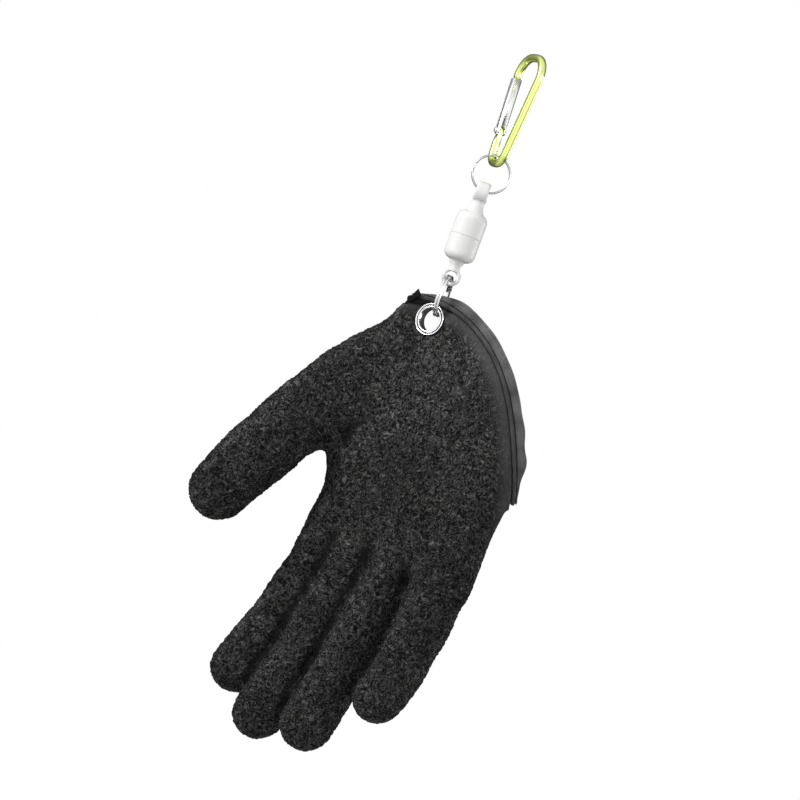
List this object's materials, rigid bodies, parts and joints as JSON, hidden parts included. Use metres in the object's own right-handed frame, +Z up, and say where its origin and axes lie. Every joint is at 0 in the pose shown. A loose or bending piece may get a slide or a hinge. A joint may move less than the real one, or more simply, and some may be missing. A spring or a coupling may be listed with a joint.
{
  "type": "fishing glove with magnetic release lanyard",
  "caption": "Right-hand coated knit fishing glove hanging by a cuff eyelet from a split ring, a magnetic release clip, a key ring and a small snap-gate carabiner.",
  "frame": {"origin": "the inner top of the carabiner's bow, which the whole set hangs from", "axes": "+Z up along the hang line, -Y the side that the palm faces, +X towards the little finger's side of the glove"},
  "size_m": [0.1569, 0.0453, 0.371],
  "materials": {
    "coat": "crinkled matte",
    "cloth": "woven, matte",
    "binding": "woven, matte",
    "ring_metal": "polished",
    "clip_plastic": "satin",
    "anodised": "anodised, glossy",
    "gate_metal": "brushed"
  },
  "bodies": {
    "hanger": {"carabiner_frame": "anodised", "gate_rivet": "ring_metal", "key_ring": "ring_metal", "clip_upper": "clip_plastic", "magnet_upper": "ring_metal"},
    "gate": {"carabiner_gate": "gate_metal"},
    "glove": {"glove_body": "coat", "cuff_piping": "cloth", "cuff_band": "cloth", "band_tail": "binding", "eyelet_front": "ring_metal", "eyelet_back": "ring_metal", "split_ring": "ring_metal", "clip_lower": "clip_plastic", "magnet_lower": "ring_metal"}
  },
  "joints": [
    {"name": "gate_hinge", "type": "hinge", "parent": "hanger", "child": "gate", "pos_m": [-0.00366, 0.00751, -0.03755], "axis": [0.8988, 0.4384, 0], "range_deg": [0, 28], "stiffness_Nm_per_rad": 0.05, "springref_deg": -20.05},
    {"name": "magnet_release", "type": "slide", "parent": "hanger", "child": "glove", "axis": [0, 0, -1], "range_m": [0, 0.04]}
  ]
}
